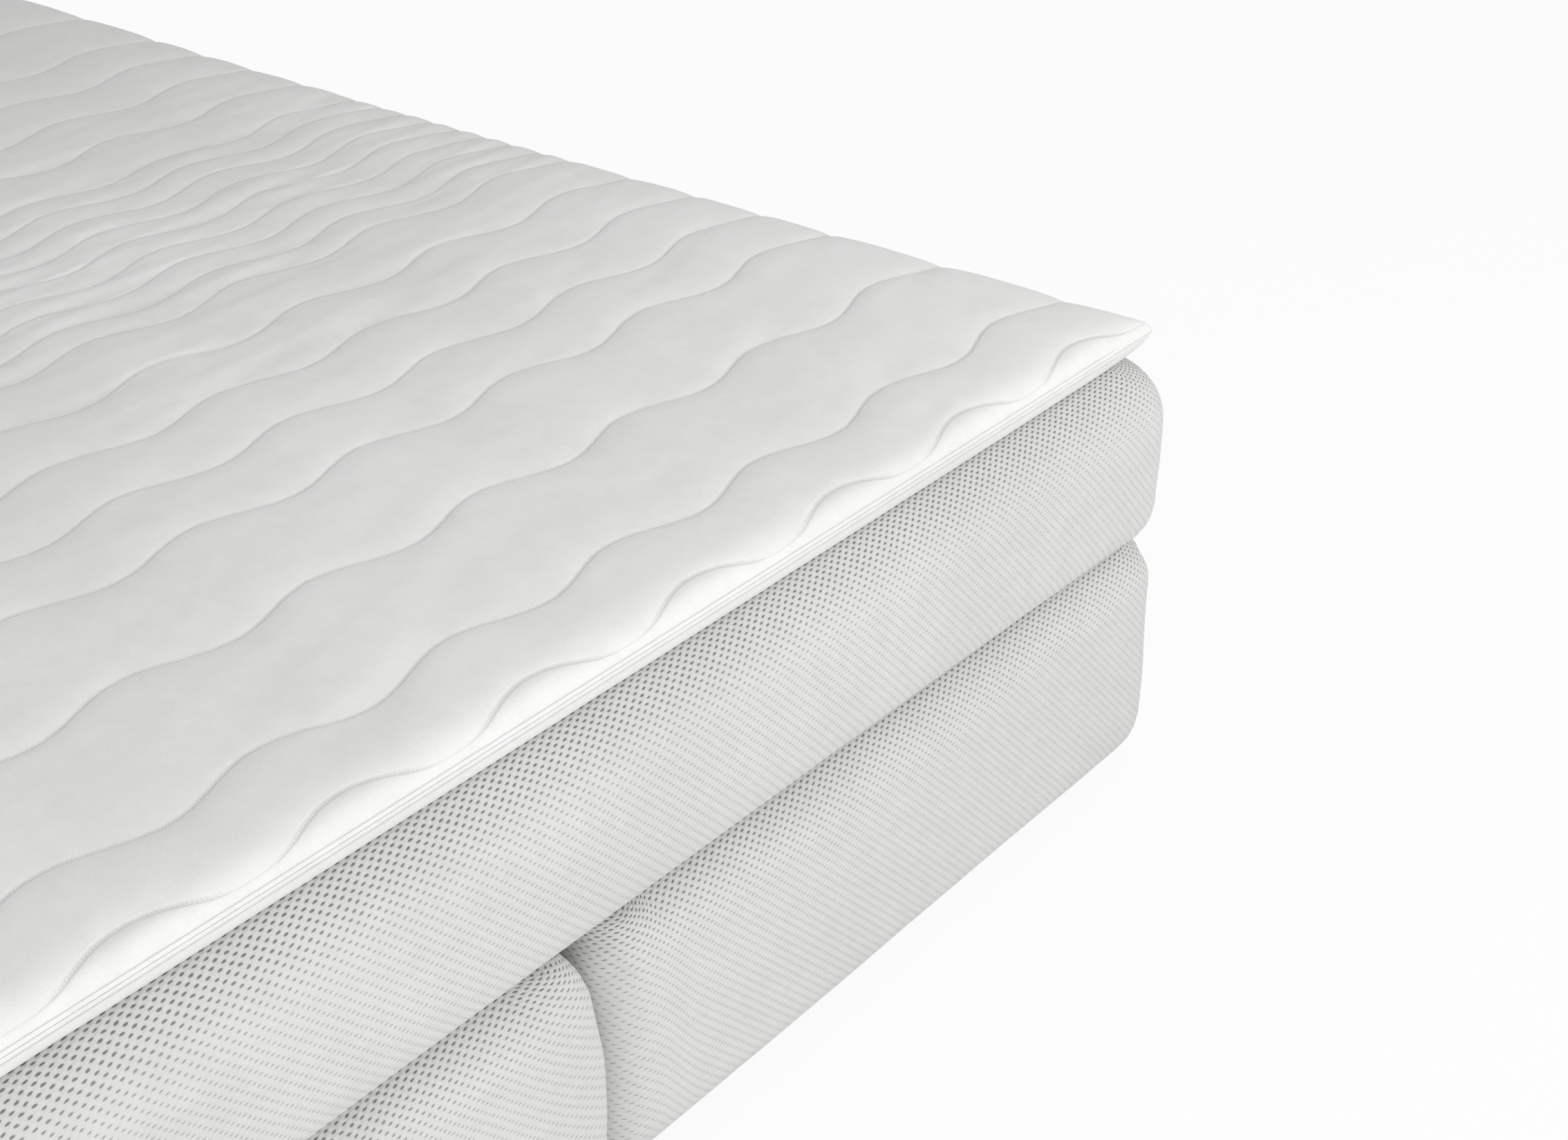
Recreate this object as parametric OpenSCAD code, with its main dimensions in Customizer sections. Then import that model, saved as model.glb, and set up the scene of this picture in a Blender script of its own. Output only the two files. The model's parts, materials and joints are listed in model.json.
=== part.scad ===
// Memory foam mattress set: quilted topper, upholstered mattress tier, divided upholstered base.
// Millimetres. Origin at the bottom centre, +Z up, foot end towards -Y, head end towards +Y.

/* [Overall] */
// Width of the upholstered tiers
tier_w = 1904; // [1004:10:2104]
// Length of the upholstered tiers
tier_l = 2080; // [1960:10:2280]
// How far the tiers stand out past the topper on every side
overhang = 40; // [20:1:60]

/* [Heights] */
// Height of the glides under the base
glide_h = 30; // [20:1:60]
// Height of the base boxes
base_h = 274; // [220:1:340]
// Height of the mattress tier
mattress_h = 207; // [170:1:280]
// Thickness of the topper
topper_h = 51; // [45:1:90]

/* [Shape] */
// Plan corner radius of the tiers
tier_r = 85; // [70:1:110]
// Shoulder radius of the mattress tier
shoulder_r = 58; // [30:1:65]
// Lower edge radius of the mattress tier
heel_r = 45; // [25:1:60]
// Edge radius of the base boxes
base_edge_r = 50; // [30:1:60]
// Gap between the two base boxes
split_gap = 2; // [1:0.5:6]

/* [Base] */
// Thickness of the timber rails
rail_t = 22; // [18:1:30]
// Number of slats in each box
slat_n = 13; // [9:1:17]
// Width of a slat
slat_w = 90; // [60:1:110]
// Diameter of a glide
glide_d = 50; // [40:1:70]

/* [Topper] */
// Height of the open zip channel
zip_gap = 8; // [7:0.5:12]
// Distance of the parked zip slider from the corner
zip_park = 90; // [60:5:200]

/* [Hidden] */
$fn = 64;
cloth_t = 3;
pad_t = 42;
hem = 75;
base_z = glide_h;
mat_z = base_z + base_h;
top_z = mat_z + mattress_h;
all_h = top_z + topper_h;
box_w = (tier_w - split_gap) / 2;
box_x = (box_w + split_gap) / 2;
cav = cloth_t + pad_t;
cav_w = box_w - 2 * cav;
cav_l = tier_l - 2 * cav;
rail_z = base_z + cloth_t + 6;
slat_t = 18;
deck_z = mat_z - cav - cloth_t;
rail_h = deck_z - slat_t - rail_z;
block_s = 100;
block_h = 60;
glide_in = cav + rail_t + block_s / 2;
dust_t = 1.5;
wad = 8;
topper_w = tier_w - 2 * overhang - 4;
topper_l = tier_l - 2 * overhang + 8;
topper_r = 20;
topper_rt = min(18, topper_h / 2 - 7.5);
topper_rb = min(14, topper_h / 2 - 11.5);
zip_z = top_z + topper_h / 2 + 0.5;
zip_y = topper_l / 2;
slider_x = topper_w / 2 - zip_park;
axis_y = zip_y + 1.9;
link_y = tier_l / 2 - 200;

// ---- shared shapes ----

module bx(x0, x1, y0, y1, z0, z1) {
  translate([x0, y0, z0])
    cube([x1 - x0, y1 - y0, z1 - z0]);
}

// What a rounded edge takes off a square corner at the origin, towards -x and -y.
module nick(r) {
  difference() {
    translate([-r, -r])
      square([r + 1, r + 1]);
    translate([-r, -r])
      circle(r);
    translate([-r - 1, -r - 1])
      square([1, r + 2]);
    translate([-r - 1, -r - 1])
      square([r + 2, 1]);
  }
}

// Side of a slab from its inner line to its face: x from 0 to run, y from 0 to h.
module edge_2d(run, h, rt, rb) {
  difference() {
    square([run, h]);
    translate([run, h])
      nick(rt);
    translate([run, 0])
      mirror([0, 1])
        nick(rb);
  }
}

// Rounded slab, centred in plan, standing on z = 0.
module slab(w, l, h, r, rt, rb) {
  translate([0, (l - 2 * r) / 2, 0])
    rotate([90, 0, 0])
      linear_extrude(l - 2 * r) {
        edge_2d(w / 2, h, rt, rb);
        mirror([1, 0])
          edge_2d(w / 2, h, rt, rb);
      }
  for (a = [0, 180])
    rotate([0, 0, a])
      translate([-(w - 2 * r) / 2, l / 2 - r, 0])
        rotate([90, 0, 90])
          linear_extrude(w - 2 * r)
            edge_2d(r, h, rt, rb);
  for (q = [[1, 1, 0], [-1, 1, 90], [-1, -1, 180], [1, -1, 270]])
    translate([q[0] * (w / 2 - r), q[1] * (l / 2 - r), 0])
      rotate([0, 0, q[2]])
        rotate_extrude(angle = 90)
          edge_2d(r, h, rt, rb);
}

// The same slab drawn in by t on every face.
module slab_in(w, l, h, r, rt, rb, t) {
  translate([0, 0, t])
    slab(w - 2 * t, l - 2 * t, h - 2 * t, r - t, max(rt - t, 1), max(rb - t, 1));
}

module plan(w, l, r) {
  square([w, l - 2 * r], center = true);
  square([w - 2 * r, l], center = true);
  for (x = [-1, 1])
    for (y = [-1, 1])
      translate([x * (w / 2 - r), y * (l / 2 - r)])
        circle(r);
}

// Band round the topper, from inset a to inset b, between two heights.
module topper_band(a, b, z0, z1) {
  translate([0, 0, z0])
    linear_extrude(z1 - z0)
      difference() {
        plan(topper_w - 2 * a, topper_l - 2 * a, topper_r - a);
        plan(topper_w - 2 * b, topper_l - 2 * b, topper_r - b);
      }
}

module topper_slab(t) {
  translate([0, 0, top_z])
    slab_in(topper_w, topper_l, topper_h, topper_r, topper_rt, topper_rb, t);
}

module topper_layer(a, b, z0, z1) {
  intersection() {
    difference() {
      topper_slab(a);
      topper_slab(b);
    }
    bx(-topper_w, topper_w, -topper_l, topper_l, z0, z1);
  }
}

// ---- topper ----

module topper_cover_top() {
  color([0.94, 0.94, 0.93])
    topper_layer(0, 2, zip_z + zip_gap / 2, all_h + 5);
}

module topper_cover_bottom() {
  color([0.94, 0.94, 0.93])
    topper_layer(0, 2, top_z - 5, zip_z - zip_gap / 2);
}

module topper_wadding_top() {
  color([0.97, 0.97, 0.96])
    topper_layer(2, 6, zip_z + 11, all_h + 5);
}

module topper_wadding_bottom() {
  color([0.97, 0.97, 0.96])
    topper_layer(2, 6, top_z - 5, zip_z - 11);
}

module topper_memory_foam() {
  color([0.96, 0.92, 0.80])
    topper_slab(6);
}

module topper_zip_tape_upper() {
  color([0.93, 0.93, 0.92])
    topper_band(2, 3, zip_z + 0.1, zip_z + 7);
}

module topper_zip_tape_lower() {
  color([0.93, 0.93, 0.92])
    topper_band(2, 3, zip_z - 7, zip_z - 0.1);
}

module topper_zip_coil_upper() {
  color([0.90, 0.90, 0.90])
    topper_band(0.8, 2, zip_z, zip_z + 1.6);
}

module topper_zip_coil_lower() {
  color([0.90, 0.90, 0.90])
    topper_band(0.8, 2, zip_z - 1.6, zip_z);
}

module topper_stitch_upper() {
  color([0.98, 0.98, 0.97])
    topper_band(-0.4, 0, zip_z + zip_gap / 2 + 0.8, zip_z + zip_gap / 2 + 1.6);
}

module topper_stitch_lower() {
  color([0.98, 0.98, 0.97])
    topper_band(-0.4, 0, zip_z - zip_gap / 2 - 1.6, zip_z - zip_gap / 2 - 0.8);
}

module topper_zip_stop() {
  color([0.72, 0.73, 0.74])
    bx(slider_x + 5.5, slider_x + 10.5, zip_y - 0.8, zip_y + 0.6, zip_z - 2, zip_z + 2);
}

// ---- zip slider ----

module zip_slider() {
  color([0.72, 0.73, 0.74])
    translate([slider_x, zip_y, zip_z]) {
      bx(-5, 5, -0.5, 1.1, -3.4, 3.4);
      bx(-5, 5, -1.7, -0.5, 2.1, 3.4);
      bx(-5, 5, -1.7, -0.5, -3.4, -2.1);
      bx(-0.6, 0.6, 1.1, 3.5, 2.2, 3.2);
      bx(-0.6, 0.6, 1.1, 3.5, -3.2, -2.2);
      bx(-0.6, 0.6, 2.7, 3.5, -2.2, 2.2);
    }
}

module zip_pull() {
  color([0.72, 0.73, 0.74])
    translate([slider_x, axis_y, zip_z])
      difference() {
        union() {
          bx(-2.8, 2.8, -0.5, 0.5, -17, 0);
          translate([-2.8, 0, 0])
            rotate([0, 90, 0])
              cylinder(h = 5.6, r = 0.5);
        }
        bx(-1.4, 1.4, -1, 1, -4.6, -0.5);
      }
}

// ---- mattress tier ----

module mattress_slab(t) {
  translate([0, 0, mat_z])
    slab_in(tier_w, tier_l, mattress_h, tier_r, shoulder_r, heel_r, t);
}

module underside_box(t) {
  w = tier_w / 2 - 60;
  l = tier_l / 2 - 60;
  bx(-w, w, -l, l, mat_z - t, mat_z + cloth_t + t);
}

module mattress_cover() {
  color([0.80, 0.81, 0.79])
    difference() {
      mattress_slab(0);
      mattress_slab(cloth_t);
      underside_box(1);
    }
}

module mattress_underside() {
  color([0.30, 0.30, 0.31])
    underside_box(0);
}

module mattress_wadding() {
  color([0.97, 0.97, 0.96])
    difference() {
      mattress_slab(cloth_t);
      mattress_slab(cloth_t + wad);
    }
}

module mattress_foam(z0, z1) {
  intersection() {
    mattress_slab(cloth_t + wad);
    bx(-tier_w, tier_w, -tier_l, tier_l, z0, z1);
  }
}

module core_box(z0, z1) {
  bx(120 - tier_w / 2, tier_w / 2 - 120, 120 - tier_l / 2, tier_l / 2 - 120, z0, z1);
}

module mattress_memory_foam() {
  color([0.96, 0.92, 0.80])
    mattress_foam(top_z - 70, top_z);
}

module mattress_transition_foam() {
  color([0.86, 0.90, 0.94])
    mattress_foam(top_z - 110, top_z - 70);
}

module mattress_edge_foam() {
  color([0.88, 0.88, 0.86])
    difference() {
      mattress_foam(mat_z, top_z - 110);
      core_box(mat_z - 1, top_z);
    }
}

module mattress_support_core() {
  color([0.92, 0.93, 0.95])
    core_box(mat_z + cloth_t + wad, top_z - 110);
}

// ---- base boxes, drawn about their own centre line ----

module place(side) {
  translate([side * box_x, 0, 0])
    children();
}

module base_slab(t) {
  translate([0, 0, base_z])
    slab_in(box_w, tier_l, base_h, tier_r, base_edge_r, base_edge_r, t);
}

module base_cover() {
  color([0.80, 0.81, 0.79])
    difference() {
      base_slab(0);
      base_slab(cloth_t);
      bx(hem - box_w / 2, box_w / 2 - hem, hem - tier_l / 2, tier_l / 2 - hem,
        base_z - 1, base_z + cloth_t + 1);
    }
}

module base_padding() {
  color([0.93, 0.93, 0.90])
    difference() {
      base_slab(cloth_t);
      bx(-cav_w / 2, cav_w / 2, -cav_l / 2, cav_l / 2, base_z - 1, deck_z);
    }
}

module base_rail_long(side) {
  x = side * (cav_w / 2 - rail_t / 2);
  color([0.80, 0.66, 0.46])
    bx(x - rail_t / 2, x + rail_t / 2, -cav_l / 2, cav_l / 2, rail_z, rail_z + rail_h);
}

module base_rail_end(side) {
  y = side * (cav_l / 2 - rail_t / 2);
  w = cav_w / 2 - rail_t;
  color([0.80, 0.66, 0.46])
    bx(-w, w, y - rail_t / 2, y + rail_t / 2, rail_z, rail_z + rail_h);
}

module base_beam() {
  l = cav_l / 2 - rail_t;
  color([0.80, 0.66, 0.46])
    bx(-20, 20, -l, l, rail_z + rail_h - 60, rail_z + rail_h);
}

module base_slats() {
  pitch = (cav_l - slat_w) / (slat_n - 1);
  color([0.86, 0.73, 0.53])
    for (i = [0 : slat_n - 1])
      translate([0, i * pitch - (cav_l - slat_w) / 2, 0])
        bx(-cav_w / 2, cav_w / 2, -slat_w / 2, slat_w / 2,
          rail_z + rail_h, deck_z);
}

module at_glides() {
  gx = box_w / 2 - glide_in;
  gy = tier_l / 2 - glide_in;
  for (x = [-gx, gx])
    for (y = [-gy, 0, gy])
      translate([x, y, 0])
        children();
}

module base_blocks() {
  h = block_s / 2;
  color([0.78, 0.63, 0.43])
    at_glides()
      bx(-h, h, -h, h, rail_z, rail_z + block_h);
}

module base_dust_cover(side) {
  color([0.13, 0.13, 0.14])
    difference() {
      bx(hem - 15 - box_w / 2, box_w / 2 - hem + 15, hem - 15 - tier_l / 2,
        tier_l / 2 - hem + 15, base_z - dust_t, base_z);
      at_glides()
        translate([0, 0, base_z - 5])
          cylinder(h = 10, r = 5);
      for (y = [-link_y, link_y])
        translate([-side * (box_w / 2 - hem + 15), y, base_z])
          cube([60, 60, 10], center = true);
    }
}

module base_glides() {
  top = base_z - dust_t;
  color([0.12, 0.12, 0.12])
    at_glides()
      difference() {
        union() {
          cylinder(h = top - 4, r = glide_d / 2);
          translate([0, 0, top - 4])
            cylinder(h = 4, r = glide_d / 2 + 6);
        }
        translate([0, 0, -1])
          cylinder(h = 12, r = 9);
        cylinder(h = top + 1, r = 4.2);
      }
}

module base_glide_screws() {
  color([0.66, 0.67, 0.68])
    at_glides() {
      translate([0, 0, 7])
        cylinder(h = 4, r = 8);
      translate([0, 0, 11])
        cylinder(h = rail_z + 34 - 11, r = 4);
    }
}

// ---- plates that join the two boxes underneath ----

module link_plate(y) {
  color([0.66, 0.67, 0.68])
    bx(-70, 70, y - 22, y + 22, base_z - 3, base_z);
}

module link_screws(y) {
  color([0.66, 0.67, 0.68])
    for (x = [-1, 1])
      for (d = [-12, 12])
        translate([x * (split_gap / 2 + cav + rail_t / 2), y + d, 0]) {
          translate([0, 0, base_z - 6])
            cylinder(h = 3, r = 5);
          translate([0, 0, base_z - 3])
            cylinder(h = 35, r = 2.5);
        }
}

topper_cover_top();
topper_cover_bottom();
topper_wadding_top();
topper_wadding_bottom();
topper_memory_foam();
topper_zip_tape_upper();
topper_zip_tape_lower();
topper_zip_coil_upper();
topper_zip_coil_lower();
topper_stitch_upper();
topper_stitch_lower();
topper_zip_stop();
zip_slider();
zip_pull();
mattress_cover();
mattress_underside();
mattress_wadding();
mattress_memory_foam();
mattress_transition_foam();
mattress_edge_foam();
mattress_support_core();
place(-1) base_cover();  // base_left_cover
place(-1) base_padding();  // base_left_padding
place(-1) base_rail_long(-1);  // base_left_rail_outer
place(-1) base_rail_long(1);  // base_left_rail_inner
place(-1) base_rail_end(-1);  // base_left_rail_foot
place(-1) base_rail_end(1);  // base_left_rail_head
place(-1) base_beam();  // base_left_beam
place(-1) base_slats();  // base_left_slats
place(-1) base_blocks();  // base_left_blocks
place(-1) base_dust_cover(-1);  // base_left_dust_cover
place(-1) base_glides();  // base_left_glides
place(-1) base_glide_screws();  // base_left_glide_screws
place(1) base_cover();  // base_right_cover
place(1) base_padding();  // base_right_padding
place(1) base_rail_long(1);  // base_right_rail_outer
place(1) base_rail_long(-1);  // base_right_rail_inner
place(1) base_rail_end(-1);  // base_right_rail_foot
place(1) base_rail_end(1);  // base_right_rail_head
place(1) base_beam();  // base_right_beam
place(1) base_slats();  // base_right_slats
place(1) base_blocks();  // base_right_blocks
place(1) base_dust_cover(1);  // base_right_dust_cover
place(1) base_glides();  // base_right_glides
place(1) base_glide_screws();  // base_right_glide_screws
link_plate(-link_y);  // base_link_foot
link_plate(link_y);  // base_link_head
link_screws(-link_y);  // base_link_foot_screws
link_screws(link_y);  // base_link_head_screws
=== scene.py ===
import json
import math

import bpy
import numpy as np
from mathutils import Matrix, Vector, noise

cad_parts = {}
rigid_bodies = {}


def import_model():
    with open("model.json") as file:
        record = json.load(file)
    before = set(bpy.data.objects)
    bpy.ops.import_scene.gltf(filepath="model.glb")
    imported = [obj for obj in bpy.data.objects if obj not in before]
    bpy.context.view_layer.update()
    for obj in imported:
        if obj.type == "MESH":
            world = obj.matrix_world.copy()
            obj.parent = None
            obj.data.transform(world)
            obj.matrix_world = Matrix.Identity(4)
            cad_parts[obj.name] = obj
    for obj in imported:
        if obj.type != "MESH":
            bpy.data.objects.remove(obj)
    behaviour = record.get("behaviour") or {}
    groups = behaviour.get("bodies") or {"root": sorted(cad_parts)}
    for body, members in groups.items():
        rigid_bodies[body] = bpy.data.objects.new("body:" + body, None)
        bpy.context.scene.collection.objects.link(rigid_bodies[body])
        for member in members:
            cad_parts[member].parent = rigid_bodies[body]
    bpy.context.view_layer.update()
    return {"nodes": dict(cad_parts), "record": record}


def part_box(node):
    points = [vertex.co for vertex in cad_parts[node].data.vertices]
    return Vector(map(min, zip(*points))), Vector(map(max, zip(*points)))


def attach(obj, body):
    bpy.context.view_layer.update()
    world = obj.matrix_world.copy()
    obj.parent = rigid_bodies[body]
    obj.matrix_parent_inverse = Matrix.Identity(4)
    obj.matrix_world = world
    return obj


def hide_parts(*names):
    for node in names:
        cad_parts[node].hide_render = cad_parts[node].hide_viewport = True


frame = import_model()
nodes = frame["nodes"]

# ---------------------------------------------------------------- sizes, from the CAD frame
TIER_LO, TIER_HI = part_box("mattress_cover")
HALF_W, HALF_L, TOPPER_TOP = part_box("topper_cover_top")[1]
TOPPER_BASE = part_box("topper_cover_bottom")[0].z
ZIP_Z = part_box("topper_zip_coil_lower")[1].z

# ---------------------------------------------------------------- sizes the frame does not give
TIER_CORNER = 0.085    # plan radius of the corners of the mattress tier and the base boxes
FACE_INSET = 0.075     # further in than this, their cloth lies on the top or the underside
OUTLINE_STEP = 0.012   # length of cloth between two columns on a straight side
TURN_COLUMNS = 14      # columns round one corner
LID_CORNER = 0.010     # plan radius of the topper's corners
WAVE_LENGTH = 0.2025   # one wave of a quilt line
WAVE_SWING = 0.0125    # how far the line swings to each side
WAVE_SHIFT = 0.0125    # how far its crests lie from the topper's middle


# ---------------------------------------------------------------- camera
def set_camera():
    azimuth, elevation, roll = (math.radians(a) for a in (-52.17, 29.42, -0.10))
    back = Vector((math.sin(azimuth) * math.cos(elevation),
                   -math.cos(azimuth) * math.cos(elevation), math.sin(elevation)))
    right = Vector((0, 0, 1)).cross(back).normalized()
    up = back.cross(right)
    side = math.cos(roll) * right + math.sin(roll) * up
    top = -math.sin(roll) * right + math.cos(roll) * up
    bpy.ops.object.camera_add()
    camera = bpy.context.object
    place = Matrix((side, top, back)).transposed().to_4x4()
    place.translation = Vector((-1.194, -2.158, 1.592))
    camera.matrix_world = place
    camera.data.lens = 56.34
    camera.data.sensor_width = 36
    camera.data.clip_start = 0.05
    bpy.context.scene.camera = camera


set_camera()


# ---------------------------------------------------------------- shader helpers
class Sheet:
    """A node tree with short calls for the nodes that the fabrics are drawn with."""

    def __init__(self, tree):
        self.tree = tree

    def node(self, kind, **settings):
        n = self.tree.nodes.new(kind)
        for key, value in settings.items():
            setattr(n, key, value)
        return n

    def join(self, a, b):
        self.tree.links.new(a, b)

    def put(self, socket, value):
        if isinstance(value, bpy.types.NodeSocket):
            self.join(value, socket)
        elif value is not None:
            socket.default_value = value

    def math(self, operation, a, b=None, c=None):
        n = self.node("ShaderNodeMath", operation=operation)
        for socket, value in zip(n.inputs, (a, b, c)):
            self.put(socket, value)
        return n.outputs[0]

    def weighted(self, *terms):
        """The sum of some values, each times its weight."""
        total = None
        for value, weight in terms:
            part = self.math("MULTIPLY", value, weight)
            total = part if total is None else self.math("ADD", total, part)
        return total

    def vector(self, operation, a, b=None, scale=None):
        n = self.node("ShaderNodeVectorMath", operation=operation)
        self.put(n.inputs[0], a)
        self.put(n.inputs[1], b)
        if operation == "SCALE":
            self.put(n.inputs["Scale"], scale)
        return n.outputs[0]

    def split(self, vector):
        n = self.node("ShaderNodeSeparateXYZ")
        self.put(n.inputs[0], vector)
        return n.outputs[0], n.outputs[1], n.outputs[2]

    def ramp(self, value, low, high, to_low=0.0, to_high=1.0, smooth=True):
        n = self.node("ShaderNodeMapRange",
                      interpolation_type="SMOOTHSTEP" if smooth else "LINEAR")
        for name, v in (("Value", value), ("From Min", low), ("From Max", high),
                        ("To Min", to_low), ("To Max", to_high)):
            self.put(n.inputs[name], v)
        return n.outputs[0]

    def mix(self, factor, a, b):
        n = self.node("ShaderNodeMix", data_type="RGBA", blend_type="MIX")
        factor_in, first_in, second_in = n.inputs[0], n.inputs[6], n.inputs[7]
        self.put(factor_in, factor)
        self.put(first_in, a)
        self.put(second_in, b)
        return n.outputs[2]

    def noise(self, vector, scale, detail=3.0, roughness=0.55):
        n = self.node("ShaderNodeTexNoise")
        self.put(n.inputs["Vector"], vector)
        self.put(n.inputs["Scale"], scale)
        self.put(n.inputs["Detail"], detail)
        self.put(n.inputs["Roughness"], roughness)
        return n.outputs["Fac"]

    def stretch(self, vector, scale, turn=(0, 0, 0)):
        n = self.node("ShaderNodeMapping")
        self.put(n.inputs["Vector"], vector)
        n.inputs["Scale"].default_value = scale
        n.inputs["Rotation"].default_value = turn
        return n.outputs[0]


def grey(v, warm=0.0):
    """A grey of linear value v, a little redder and less blue as warm rises."""
    return (v * (1 + warm), v, v * (1 - warm), 1)


def group(name, inputs, outputs):
    """An empty node group with named sockets, a Sheet to draw in it, and its two ends."""
    tree = bpy.data.node_groups.new(name, "ShaderNodeTree")
    for label, kind, value in inputs:
        s = tree.interface.new_socket(label, in_out="INPUT", socket_type="NodeSocket" + kind)
        if value is not None:
            s.default_value = value
    for label, kind in outputs:
        tree.interface.new_socket(label, in_out="OUTPUT", socket_type="NodeSocket" + kind)
    sheet = Sheet(tree)
    start, end = sheet.node("NodeGroupInput"), sheet.node("NodeGroupOutput")
    return tree, sheet, start.outputs, end.inputs


def weave_group():
    """Coarse open weave: staggered slots between plump yarns, which the cloth paints dark as shade. The
    vector is in metres.
    Across and Up are the size of one cell as written here; rendered rows come out taller."""
    tree, s, i, o = group(
        "open_weave",
        [("Vector", "Vector", None), ("Across", "Float", 0.0108), ("Up", "Float", 0.0042),
         ("Open", "Float", 0.0)],
        [("Slot", "Float"), ("Height", "Float"), ("Knot", "Float")])
    row_shift, slot_slant, yarn_drift = -0.38, -0.35, 0.0016
    drift = s.node("ShaderNodeTexNoise")
    s.put(drift.inputs["Vector"], i["Vector"])
    drift.inputs["Scale"].default_value = 150.0
    drift.inputs["Detail"].default_value = 1.0
    centred = s.vector("SUBTRACT", drift.outputs["Color"], (0.5, 0.5, 0.5))
    x, y, _ = s.split(s.vector("ADD", i["Vector"], s.vector("SCALE", centred, scale=yarn_drift)))
    # the cell that each point lies in, and its place in that cell from -0.5 to 0.5
    q = s.math("DIVIDE", y, i["Up"])
    row = s.math("ROUND", q)
    p = s.math("SUBTRACT", s.math("DIVIDE", x, i["Across"]),
               s.math("MULTIPLY", row, row_shift))
    in_p = s.math("SUBTRACT", p, s.math("ROUND", p))
    in_q = s.math("SUBTRACT", q, row)
    # distance from the middle of the slot, in slot radii that grow as the cloth opens
    long_r = s.math("MULTIPLY_ADD", i["Open"], 0.045, 0.175)
    tall_r = s.math("MULTIPLY_ADD", i["Open"], 0.085, 0.155)
    da = s.math("DIVIDE", s.math("MULTIPLY_ADD", in_q, slot_slant, in_p), long_r)
    db = s.math("DIVIDE", in_q, tall_r)
    near = s.math("SQRT", s.math("ADD", s.math("MULTIPLY", da, da), s.math("MULTIPLY", db, db)))
    slot = s.ramp(near, 1.3, 0.55)
    around = s.ramp(near, 2.1, 0.9)
    wave = s.math("COSINE", s.math("MULTIPLY", in_p, 2 * math.pi))
    belly = s.math("COSINE", s.math("MULTIPLY", in_q, math.pi))
    knot = s.math("MULTIPLY_ADD", s.math("MULTIPLY", wave, belly), -0.5, 0.5)
    fibre = s.noise(s.stretch(i["Vector"], (420, 900, 420)), 1.0, 2.0)
    s.put(o["Slot"], slot)
    s.put(o["Height"], s.weighted((knot, 0.40), (slot, -0.9), (around, -0.2), (belly, 0.25),
                                  (fibre, 0.30)))
    s.put(o["Knot"], knot)
    return tree


def grain_group():
    """Two octaves of soft mottling, for cloth, foam, metal and plastic that are never one flat tone."""
    tree, s, i, o = group("mottle", [("Vector", "Vector", None), ("Broad", "Float", 3.0),
                                     ("Fine", "Float", 60.0)], [("Mottle", "Float")])
    broad = s.noise(i["Vector"], i["Broad"], 2.0)
    fine = s.noise(i["Vector"], i["Fine"], 3.0)
    s.put(o["Mottle"], s.weighted((broad, 0.6), (fine, 0.4)))
    return tree


WEAVE = weave_group()
MOTTLE = grain_group()


def use(s, tree, **values):
    n = s.node("ShaderNodeGroup")
    n.node_tree = tree
    for key, value in values.items():
        s.put(n.inputs[key], value)
    return n.outputs


def mottled(s, where, broad, fine):
    return use(s, MOTTLE, Vector=where, Broad=broad, Fine=fine)["Mottle"]


def material(name, roughness, metallic=0.0, sheen=0.0, specular=0.3):
    m = bpy.data.materials.new(name)
    m.use_nodes = True
    shader = m.node_tree.nodes["Principled BSDF"]
    for socket, value in (("Roughness", roughness), ("Metallic", metallic),
                          ("Specular IOR Level", specular), ("IOR", 1.45),
                          ("Sheen Weight", sheen), ("Sheen Roughness", 0.5)):
        shader.inputs[socket].default_value = value
    return m, Sheet(m.node_tree), shader


def bump(s, shader, height, distance, strength=1.0):
    n = s.node("ShaderNodeBump")
    n.inputs["Distance"].default_value = distance
    s.put(n.inputs["Strength"], strength)
    s.put(n.inputs["Height"], height)
    s.put(shader.inputs["Normal"], n.outputs[0])


def place_of(s):
    return s.node("ShaderNodeTexCoord").outputs["Object"]


# ---------------------------------------------------------------- fabrics and finishes
def upholstery_cloth():
    """Coarse grey cloth; its shoulder mask is 1 where the cloth is stretched over a shoulder and its
    slots open. The slots are painted dark as shade, darker over the shoulder.
    """
    m, s, shader = material("upholstery_cloth", roughness=0.92, sheen=0.25, specular=0.15)
    uv = s.node("ShaderNodeUVMap", uv_map="weave").outputs[0]
    taut_and_shade = s.node("ShaderNodeAttribute", attribute_name="taut_and_shade").outputs["Fac"]
    weave = use(s, WEAVE, Vector=uv, Open=taut_and_shade)
    mottle = mottled(s, place_of(s), 4.0, 55.0)
    darker, lighter = (0.625, 0.627, 0.614, 1), (0.675, 0.676, 0.667, 1)
    # painted highlight: the raised knots are coloured lighter, as if lit
    knot_highlight = (0.725, 0.725, 0.716, 1)
    slack_slot_shade, open_slot_shade = (0.40, 0.40, 0.385, 1), (0.19, 0.195, 0.182, 1)
    yarn = s.mix(s.ramp(mottle, 0.35, 0.65), darker, lighter)
    yarn = s.mix(s.math("MULTIPLY", weave["Knot"], 0.35), yarn, knot_highlight)
    # painted shade: the slots are coloured dark as shade, darker still over the taut shoulder
    slot_shade = s.mix(taut_and_shade, slack_slot_shade, open_slot_shade)
    s.put(shader.inputs["Base Color"], s.mix(weave["Slot"], yarn, slot_shade))
    bump(s, shader, weave["Height"], 0.0010, s.math("MULTIPLY_ADD", taut_and_shade, 0.45, 0.35))
    return m


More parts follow.
